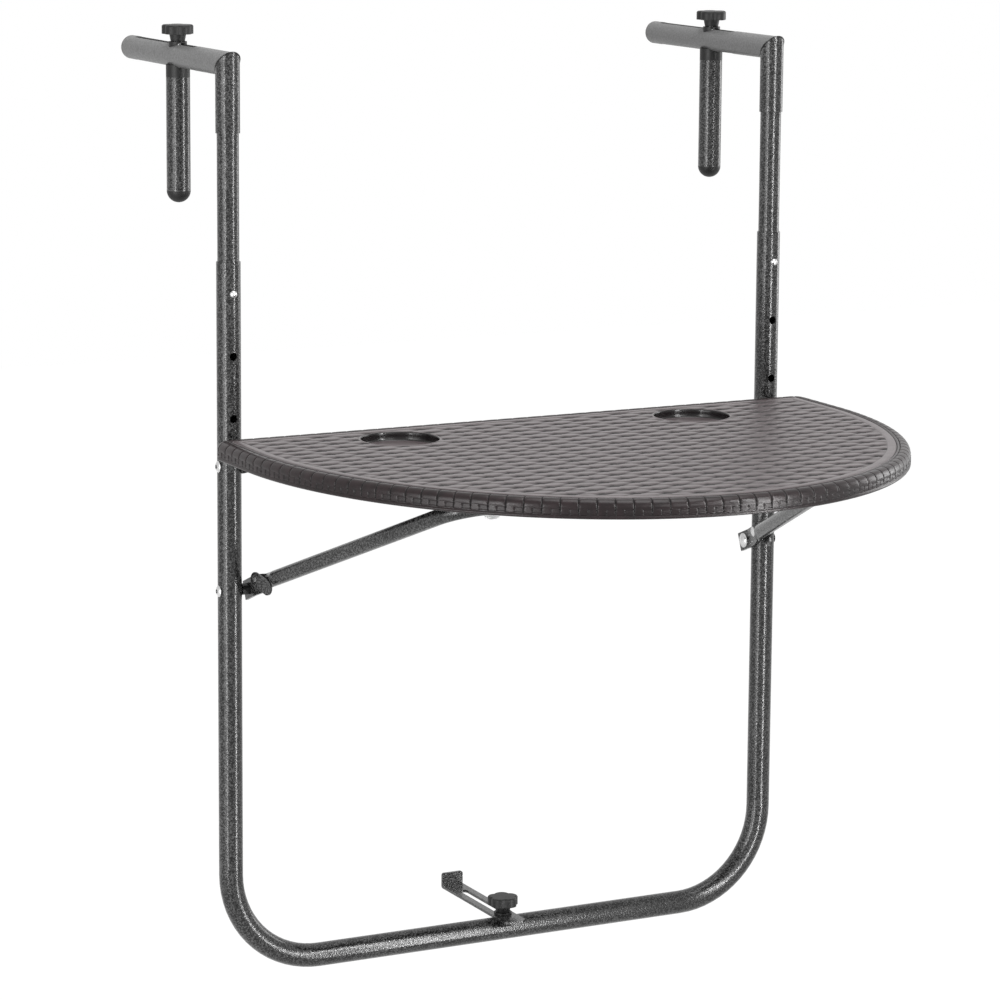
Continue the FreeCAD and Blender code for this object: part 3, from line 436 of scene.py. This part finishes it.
def new_object(name, vertices, faces, materials, body, zones=None, relief=None):
    """Smooth mesh object from millimetre vertices, riding on a body.

    zones are the faces' material indices and relief the points' heights, 0 to 1, by which the
    rattan paints shade.
    """
    mesh = bpy.data.meshes.new(name)
    points = [tuple(v) for v in np.asarray(vertices, float) * MM]
    mesh.from_pydata(points, [], [tuple(f) for f in faces])
    for material in materials:
        mesh.materials.append(material)
    if zones is not None:
        mesh.polygons.foreach_set("material_index", zones)
    mesh.polygons.foreach_set("use_smooth", [True] * len(mesh.polygons))
    if relief is not None:
        attribute = mesh.attributes.new("relief", "FLOAT", "POINT")
        attribute.data.foreach_set("value", np.asarray(relief, np.float32))
    mesh.update()
    mesh.validate()
    obj = bpy.data.objects.new(name, mesh)
    bpy.context.scene.collection.objects.link(obj)
    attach(obj, body)
    return obj


class Outline:
    """The top's outer line at any inset, by length along the outer edge."""

    def __init__(self):
        knots = []
        for section, count in enumerate(SECTION_POINTS):
            knots += [section + i / count for i in range(count)]
        self.knots = np.array(knots + [float(len(SECTION_POINTS))])
        points = self.at_knots(self.knots, 0.0)
        steps = np.linalg.norm(np.diff(points, axis=0), axis=1)
        self.lengths = np.concatenate([[0.0], np.cumsum(steps)])
        self.total = self.lengths[-1]

    def at_knots(self, knots, inset):
        """Points for section-wise places: ellipse, side, corner, rear, corner, side."""
        half = TOP_HALF_WIDTH - inset
        bulge = TOP_FRONT_BULGE - inset
        corner = max(TOP_CORNER_R - inset, 1.0)
        rear = TOP_REAR_Y - inset
        centre_y = TOP_REAR_Y - TOP_STRAIGHT_SIDE
        points = np.zeros((len(knots), 2))
        section = np.minimum(np.floor(knots), 5)
        t = knots - section
        angle = -math.pi * t
        for index, (x, y) in enumerate((
                (half * np.cos(angle), centre_y + bulge * np.sin(angle)),
                (-half + 0 * t, centre_y + t * (rear - corner - centre_y)),
                (-half + corner - corner * np.cos(t * math.pi / 2),
                 rear - corner + corner * np.sin(t * math.pi / 2)),
                (-half + corner + t * 2 * (half - corner), rear + 0 * t),
                (half - corner + corner * np.sin(t * math.pi / 2),
                 rear - corner + corner * np.cos(t * math.pi / 2)),
                (half + 0 * t, rear - corner + t * (centre_y - rear + corner)))):
            chosen = section == index
            points[chosen, 0] = x[chosen]
            points[chosen, 1] = y[chosen]
        return points

    def at_lengths(self, lengths, inset):
        """Points at lengths along the outer edge, moved in by inset."""
        knots = np.interp(np.mod(lengths, self.total), self.lengths, self.knots)
        return self.at_knots(knots, inset)


OUTLINE = Outline()


def weave_height(x, y):
    """Heights of the woven surface over the top's plane, in millimetres and below zero."""
    best = np.full(x.shape, WEFT_LOW)
    nearest = np.round((WEFT_FIRST_Y - y) / WEFT_PITCH)
    for shift in (-2, -1, 0, 1, 2):
        row = nearest + shift
        centre_y = WEFT_FIRST_Y - row * WEFT_PITCH
        hollow_x = WARP_FIRST_X + WARP_PITCH * np.mod(row, 2)
        lift = 0.5 - 0.5 * np.cos(math.pi * (x - hollow_x) / WARP_PITCH)
        from_notch = np.mod(x - hollow_x + HOLE_SHIFT, 2 * WARP_PITCH) - WARP_PITCH
        half_width = STRAND_HALF_WIDTH * np.maximum(lift, 1e-4) ** STRAND_TAPER
        half_width *= 1 - STRAND_NOTCH * np.exp(-(from_notch / NOTCH_LENGTH) ** 2)
        across = np.minimum(np.abs(y - centre_y) / half_width, STRAND_REACH)
        height = WEFT_HIGH - STRAND_DIP * (1 - lift) ** STRAND_DIP_POWER
        height = height - STRAND_EDGE * across ** STRAND_EDGE_POWER
        best = np.maximum(best, height)
    return best


def hole_shade(x, y):
    """Painted shade of the small hole beside each dip, 0 to 1."""
    row = np.round((WEFT_FIRST_Y - y) / WEFT_PITCH)
    hollow_x = WARP_FIRST_X + WARP_PITCH * np.mod(row, 2)
    dx = np.mod(x - hollow_x + HOLE_SHIFT + WARP_PITCH, 2 * WARP_PITCH) - WARP_PITCH
    dy = y - (WEFT_FIRST_Y - row * WEFT_PITCH)
    return np.exp(-(dx / HOLE_LENGTH) ** 2 - (dy / HOLE_WIDTH) ** 2)


def edge_distance(points):
    """Rough distance to the field's own edge, positive inside."""
    centre_y = TOP_REAR_Y - TOP_STRAIGHT_SIDE
    half = TOP_HALF_WIDTH - FIELD_INSET
    bulge = TOP_FRONT_BULGE - FIELD_INSET
    x = points[:, 0]
    y = points[:, 1]
    radius = np.sqrt((x / half) ** 2 + ((y - centre_y) / bulge) ** 2)
    slope = np.sqrt((x / half ** 2) ** 2 + ((y - centre_y) / bulge ** 2) ** 2)
    slope = slope / np.maximum(radius, 1e-6)
    ellipse = (1 - radius) / np.maximum(slope, 1e-6)
    rear = TOP_REAR_Y - FIELD_INSET - y
    sides = np.minimum(half - np.abs(x), rear)
    return np.where(y < centre_y, np.minimum(ellipse, rear), sides)


def cup_distance(points):
    """Distance to the nearest cup's lip, positive outside it."""
    gaps = [np.hypot(points[:, 0] - x, points[:, 1] - y) - CUP_EDGE_R for x, y in CUPS]
    return np.minimum(*gaps)


def cup_circle(x, y, radius):
    """Points of a circle round a cup's middle."""
    angles = np.arange(CUP_SECTIONS) * 2 * math.pi / CUP_SECTIONS
    return np.stack([x + radius * np.cos(angles), y + radius * np.sin(angles)], 1)


def field_points():
    """Grid points of the woven field, clear of its edges and of the cups."""
    centre_y = TOP_REAR_Y - TOP_STRAIGHT_SIDE
    half = TOP_HALF_WIDTH - FIELD_INSET
    bulge = TOP_FRONT_BULGE - FIELD_INSET
    columns = math.floor(half / STEP_X)
    xs = np.arange(-columns, columns + 1) * STEP_X
    steps = np.array(ROW_STEPS)
    ys = np.concatenate([WEFT_FIRST_Y - row * WEFT_PITCH - steps for row in WEFT_ROWS])
    ys = ys[(ys < TOP_REAR_Y - FIELD_INSET - FIELD_REAR_MARGIN) & (ys > centre_y - bulge)]
    x, y = [a.ravel() for a in np.meshgrid(xs, ys)]
    half -= FIELD_MARGIN
    bulge -= FIELD_MARGIN
    ellipse = (x / half) ** 2 + ((y - centre_y) / bulge) ** 2 < 1
    inside = np.where(y < centre_y, ellipse, np.abs(x) < half)
    points = np.stack([x, y], 1)
    return points[inside & (cup_distance(points) > FIELD_MARGIN)]


def field_loops():
    """Closed loops that bound the woven field: its own edge, and one round each cup."""
    edge = OUTLINE.at_lengths(np.arange(0.0, OUTLINE.total, STEP_X), FIELD_INSET)
    keep = [0]
    for i in range(1, len(edge)):
        if np.linalg.norm(edge[i] - edge[keep[-1]]) > EDGE_POINT_GAP:
            keep.append(i)
    return [edge[keep]] + [cup_circle(x, y, CUP_EDGE_R) for x, y in CUPS]


def ring_faces(first, second, count):
    """Quads between two closed rings of vertices that start at the given indices."""
    faces = []
    for i in range(count):
        j = (i + 1) % count
        faces.append((first + i, second + i, second + j, first + j))
    return faces


def make_weave_field():
    """The woven surface between the border band and the cups."""
    grid = field_points()
    loops = field_loops()
    edges = []
    start = len(grid)
    for loop in loops:
        count = len(loop)
        edges += [(start + i, start + (i + 1) % count) for i in range(count)]
        start += count
    points = np.concatenate([grid] + loops)
    result = delaunay_2d_cdt([Vector(p) for p in points.tolist()], edges, [], 0, 1e-5)
    flat = np.array([tuple(v) for v in result[0]])
    centres = np.array([flat[list(f)].mean(0) for f in result[2]])
    good = (cup_distance(centres) > -CUP_SLACK) & (edge_distance(centres) > -FIELD_SLACK)
    faces = [f for f, ok in zip(result[2], good) if ok]
    height = weave_height(flat[:, 0], flat[:, 1])
    fade = np.clip(edge_distance(flat) / EDGE_FADE, 0.0, 1.0)
    fade = np.minimum(fade, np.clip(cup_distance(flat) / CUP_FADE, 0.0, 1.0))
    height = height * fade + EDGE_Z * (1 - fade)
    vertices = np.column_stack([flat, TOP_Z + height])
    # Relief from the height, lowered in the holes; the rattan's shader paints shade where it is
    # low
    relief = np.clip((height - WEFT_LOW) / (WEFT_HIGH - WEFT_LOW), 0, 1)
    shade = HOLE_SHADE * hole_shade(flat[:, 0], flat[:, 1])
    relief = np.clip(relief - shade * (relief < HOLE_HIGHEST), 0, 1)
    return vertices, faces, relief


def rim_profile():
    """Rows of (inset, z, ticks, blocks) from the field over band, bead and rim to the lip.

    ticks and blocks are the shares of the wraps' relief that a row takes.
    """
    rows = [(inset, z, 0, 0) for inset, z in BAND_PROFILE]
    rows.append(GROOVE_ROW)
    for i, degrees in enumerate(RIM_ANGLES):
        angle = math.radians(degrees)
        inset = RIM_CENTRE[0] - RIM_R * math.cos(angle)
        z = RIM_CENTRE[1] + RIM_R * math.sin(angle)
        rows.append((inset, z, min(1.0, 0.4 + i * 0.3), 0))
    rows += SIDE_PROFILE
    rows += [(inset, z, 0, 0) for inset, z in LIP_PROFILE]
    return rows


def band_relief(z):
    """Relief of the border band and bead, which falls off in their grooves as painted shade."""
    return 0.75 + 0.25 * math.tanh(1.5 * (z + 1.2))


def row_outward(rows, index):
    """Unit vector (inset, z) that points out of the rim's surface at a row."""
    before = rows[max(index - 1, 0)]
    after = rows[min(index + 1, len(rows) - 1)]
    direction = Vector((after[0] - before[0], after[1] - before[1])).normalized()
    out_inset, out_z = direction.y, -direction.x
    if out_z < -0.01 and index < SIDE_ROWS:
        return -out_inset, -out_z
    return out_inset, out_z


def make_rim():
    """Border band, bead, wrapped rolled rim and lower lip, swept round the top."""
    wraps = round(OUTLINE.total / RIM_PITCH)
    inside = np.array([step for _ in range(wraps) for step in TICK_STEPS])
    shares = np.array([k + step for k in range(wraps) for step in TICK_STEPS])
    lengths = shares * (OUTLINE.total / wraps)
    from_tick = np.minimum(inside, 1 - inside)
    tick = np.exp(-(from_tick / TICK_WIDTH) ** 2)
    line = np.exp(-(np.minimum(np.abs(inside - 0.5), from_tick) / BLOCK_LINE_WIDTH) ** 2)
    sunk = np.where(inside > 0.5, 0.0, 1.0)
    bulge = np.cos((inside - 0.5) * math.pi) * RIM_BULGE
    outward = OUTLINE.at_lengths(lengths, 0.0) - OUTLINE.at_lengths(lengths, 1.0)
    outward /= np.linalg.norm(outward, axis=1)[:, None]
    rings = []
    reliefs = []
    rows = rim_profile()
    for index, (inset, z, ticks, blocks) in enumerate(rows):
        out_inset, out_z = row_outward(rows, index)
        depth = ticks * (tick - bulge if ticks > 0.5 else tick)
        depth = depth + blocks * (BLOCK_LINE_DEPTH * line + BLOCK_SINK * sunk)
        base = OUTLINE.at_lengths(lengths, inset)
        placed = base + outward * np.minimum(out_inset * depth, inset)[:, None]
        heights = z - out_z * depth
        if index < CREST_ROWS:
            heights = np.minimum(heights, RIM_HIGHEST)
        rings.append(np.column_stack([placed, TOP_Z + heights]))
        flat = band_relief(z) if index < BEAD_ROWS else RIM_RELIEF
        # Painted shade in the ticks, in the lines round the blocks and on the sunken blocks
        shade = ticks * tick + blocks * (BLOCK_LINE_DEPTH * line + BLOCK_SHADE * sunk)
        reliefs.append(np.clip(flat - RIM_SHADE * shade, 0, 1))
    count = len(lengths)
    faces = []
    zones = []
    for k in range(len(rings) - 1):
        strip = ring_faces(k * count, (k + 1) * count, count)
        faces += strip
        zones += [0 if k < BAND_ROWS else 1] * len(strip)
    return np.concatenate(rings), faces, np.concatenate(reliefs), zones


def make_cup(cup_x, cup_y):
    """Lip, wall and floor of one cup recess."""
    rings = []
    for radius, z in CUP_PROFILE:
        ring = cup_circle(cup_x, cup_y, radius)
        rings.append(np.column_stack([ring, np.full(CUP_SECTIONS, TOP_Z + z)]))
    faces = []
    zones = []
    for k in range(len(rings) - 1):
        strip = ring_faces(k * CUP_SECTIONS, (k + 1) * CUP_SECTIONS, CUP_SECTIONS)
        faces += [tuple(reversed(f)) for f in strip]
        zones += [1 if k in CUP_WALL_RINGS else 0] * len(strip)
    last = (len(rings) - 1) * CUP_SECTIONS
    faces.append(tuple(range(last, last + CUP_SECTIONS)))
    zones.append(0)
    vertices = np.concatenate(rings)
    return vertices, faces, np.full(len(vertices), CUP_RELIEF), zones


def make_top():
    """The dressed table top: woven field with its cups, and the wrapped rim round it."""
    vertices, faces, relief = make_weave_field()
    zones = [0] * len(faces)
    for part_vertices, part_faces, part_relief, part_zones in [make_cup(x, y) for x, y in CUPS]:
        offset = len(vertices)
        vertices = np.concatenate([vertices, part_vertices])
        relief = np.concatenate([relief, part_relief])
        faces += [tuple(i + offset for i in face) for face in part_faces]
        zones += part_zones
    field = new_object("table_top_weave", vertices, faces, [WEAVE, CUP_WALL], "table",
                       zones, relief)
    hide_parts("table_top")
    vertices, faces, relief, zones = make_rim()
    new_object("table_top_rim", vertices, faces, [WEAVE, RIM], "table", zones,
               relief)


def is_outer(centre, reach):
    """Whether a face's centre lies in the top's outer wall; reach is the face's furthest x."""
    centre_y = TOP_REAR_Y - TOP_STRAIGHT_SIDE
    if centre.y > TOP_REAR_Y - WALL_DEPTH or reach > TOP_HALF_WIDTH - WALL_DEPTH:
        return True
    past_x = abs(centre.x) - (TOP_HALF_WIDTH - TOP_CORNER_R)
    past_y = centre.y - (TOP_REAR_Y - TOP_CORNER_R)
    if past_x > 0 and past_y > 0:
        return math.hypot(past_x, past_y) > TOP_CORNER_R - WALL_DEPTH
    if centre.y < centre_y:
        half = TOP_HALF_WIDTH - WALL_DEPTH
        bulge = TOP_FRONT_BULGE - WALL_DEPTH
        return (centre.x / half) ** 2 + ((centre.y - centre_y) / bulge) ** 2 > 1
    return False


def is_hidden(face):
    """Whether the woven top or its rim stands for this face of the CAD top."""
    centre = face.calc_center_median() / MM
    low = min(v.co.z for v in face.verts) / MM
    reach = max(abs(v.co.x) for v in face.verts) / MM
    in_cup = any(math.hypot(centre.x - x, centre.y - y) < CUP_PICK_R for x, y in CUPS)
    if low > TOP_Z - SKIN_DEPTH or (in_cup and low > TOP_Z - CUP_PICK_DEPTH):
        return True
    return face.normal.z > FACES_DOWN and is_outer(centre, reach)


def make_underside():
    """Ribbed underside: the CAD top's faces that the woven top and its rim don't stand for."""
    mesh = bmesh.new()
    mesh.from_mesh(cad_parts["table_top"].data)
    bmesh.ops.delete(mesh, geom=[face for face in mesh.faces if is_hidden(face)], context="FACES")
    data = bpy.data.meshes.new("table_top_ribs")
    mesh.to_mesh(data)
    mesh.free()
    data.materials.clear()
    data.materials.append(UNDERSIDE)
    obj = bpy.data.objects.new("table_top_ribs", data)
    bpy.context.scene.collection.objects.link(obj)
    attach(obj, "table")


def sweep_seam(name, centres, material, body):
    """Closed round bead along a loop of millimetre points."""
    count = len(centres)
    vertices = []
    for i in range(count):
        here = Vector(centres[i])
        along = (Vector(centres[(i + 1) % count]) - Vector(centres[i - 1])).normalized()
        if i:
            side = (side - along * side.dot(along)).normalized()
        else:
            side = along.orthogonal().normalized()
        other = along.cross(side)
        for k in range(SEAM_SECTIONS):
            angle = 2 * math.pi * k / SEAM_SECTIONS
            vertices.append(here + (side * math.cos(angle) + other * math.sin(angle)) * SEAM_R)
    faces = []
    for i in range(count):
        faces += ring_faces(i * SEAM_SECTIONS, (i + 1) % count * SEAM_SECTIONS, SEAM_SECTIONS)
    new_object(name, vertices, faces, [material], body)


def make_mitre_seams():
    """Thin weld line round each elbow's mitre."""
    seam_paint = hammered_paint("seam_paint", grey(0.05), grey(0.14))
    for side_name, side in SIDES.items():
        points = []
        for i in range(SEAM_POINTS):
            angle = 2 * math.pi * i / SEAM_POINTS
            across = LEG_R * math.cos(angle)
            points.append((side * LEG_X + LEG_R * math.sin(angle), LEG_Y + across, ARM_Z - across))
        sweep_seam("mitre_seam_" + side_name, points, seam_paint, "hook_" + side_name)


def make_camera():
    """Camera at the photograph's place."""
    yaw = math.radians(CAMERA_YAW)
    pitch = math.radians(CAMERA_PITCH)
    roll = math.radians(CAMERA_ROLL)
    forward = Vector((math.sin(yaw) * math.cos(pitch), math.cos(yaw) * math.cos(pitch),
                      math.sin(pitch)))
    level_right = Vector((math.cos(yaw), -math.sin(yaw), 0))
    level_up = level_right.cross(forward)
    right = level_right * math.cos(roll) + level_up * math.sin(roll)
    up = level_up * math.cos(roll) - level_right * math.sin(roll)
    data = bpy.data.cameras.new("camera")
    data.sensor_fit = "HORIZONTAL"
    data.sensor_width = 36.0
    data.lens = CAMERA_LENS
    data.shift_y = CAMERA_SHIFT
    data.clip_end = 100.0
    camera = bpy.data.objects.new("camera", data)
    bpy.context.scene.collection.objects.link(camera)
    turn = Matrix((right, up, -forward)).transposed().to_4x4()
    camera.matrix_world = Matrix.Translation(Vector(CAMERA_PLACE)) @ turn
    bpy.context.scene.camera = camera


def make_lights():
    """Soft studio light: side, front and top boxes, and lamps that only show as reflections."""
    for name, place, target, size, power, diffuse in LAMPS:
        data = bpy.data.lights.new(name, "AREA")
        data.shape = "RECTANGLE"
        data.size, data.size_y = size
        data.energy = power
        lamp = bpy.data.objects.new(name, data)
        bpy.context.scene.collection.objects.link(lamp)
        lamp.location = place
        lamp.rotation_euler = (Vector(target) - Vector(place)).to_track_quat("-Z", "Y").to_euler()
        lamp.visible_camera = False
        lamp.visible_diffuse = diffuse


def seen_or_lit(tree, lit, seen):
    """Mix of two shaders: seen for camera, glossy and transmission rays, lit for all others."""
    path = tree.nodes.new("ShaderNodeLightPath")
    source = path.outputs["Is Camera Ray"]
    for kind in ("Is Glossy Ray", "Is Transmission Ray"):
        either = tree.nodes.new("ShaderNodeMath")
        either.operation = "MAXIMUM"
        tree.links.new(source, either.inputs[0])
        tree.links.new(path.outputs[kind], either.inputs[1])
        source = either.outputs[0]
    mixed = tree.nodes.new("ShaderNodeMixShader")
    tree.links.new(source, mixed.inputs[0])
    tree.links.new(lit, mixed.inputs[1])
    tree.links.new(seen, mixed.inputs[2])
    return mixed.outputs[0]


def coloured_shader(tree, kind, colour):
    """Shader node with its colour set."""
    node = tree.nodes.new(kind)
    node.inputs["Color"].default_value = colour
    return node


def make_world():
    """White to the camera, in reflections and through glass, and softer as diffuse light."""
    world = bpy.data.worlds.new("studio")
    bpy.context.scene.world = world
    world.use_nodes = True
    tree = world.node_tree
    tree.nodes.clear()
    white = coloured_shader(tree, "ShaderNodeBackground", WHITE)
    soft = coloured_shader(tree, "ShaderNodeBackground", WHITE)
    soft.inputs["Strength"].default_value = WORLD_STRENGTH
    out = tree.nodes.new("ShaderNodeOutputWorld")
    tree.links.new(seen_or_lit(tree, soft.outputs[0], white.outputs[0]), out.inputs["Surface"])


def make_floor():
    """Plain pale floor well below the table."""
    mesh = bpy.data.meshes.new("floor")
    near, far = -FLOOR_REACH, FLOOR_REACH
    corners = [(near, near, 0), (far, near, 0), (far, far, 0), (near, far, 0)]
    mesh.from_pydata(corners, [], [(0, 1, 2, 3)])
    floor = bpy.data.objects.new("floor", mesh)
    floor.location = (0, 0, FLOOR_Z)
    bpy.context.scene.collection.objects.link(floor)
    material = bpy.data.materials.new("floor_paper")
    material.use_nodes = True
    tree = material.node_tree
    tree.nodes.clear()
    paper = coloured_shader(tree, "ShaderNodeBsdfDiffuse", FLOOR_COLOUR)
    darker = coloured_shader(tree, "ShaderNodeBsdfDiffuse", FLOOR_SEEN_COLOUR)
    glow = tree.nodes.new("ShaderNodeEmission")
    glow.inputs["Strength"].default_value = FLOOR_SEEN_GLOW
    both = tree.nodes.new("ShaderNodeAddShader")
    tree.links.new(darker.outputs[0], both.inputs[0])
    tree.links.new(glow.outputs[0], both.inputs[1])
    out = tree.nodes.new("ShaderNodeOutputMaterial")
    tree.links.new(seen_or_lit(tree, paper.outputs[0], both.outputs[0]), out.inputs["Surface"])
    mesh.materials.append(material)


dress_cad_nodes()
make_top()
make_underside()
make_mitre_seams()
make_camera()
make_lights()
make_world()
make_floor()
bpy.context.scene.view_settings.view_transform = "Standard"
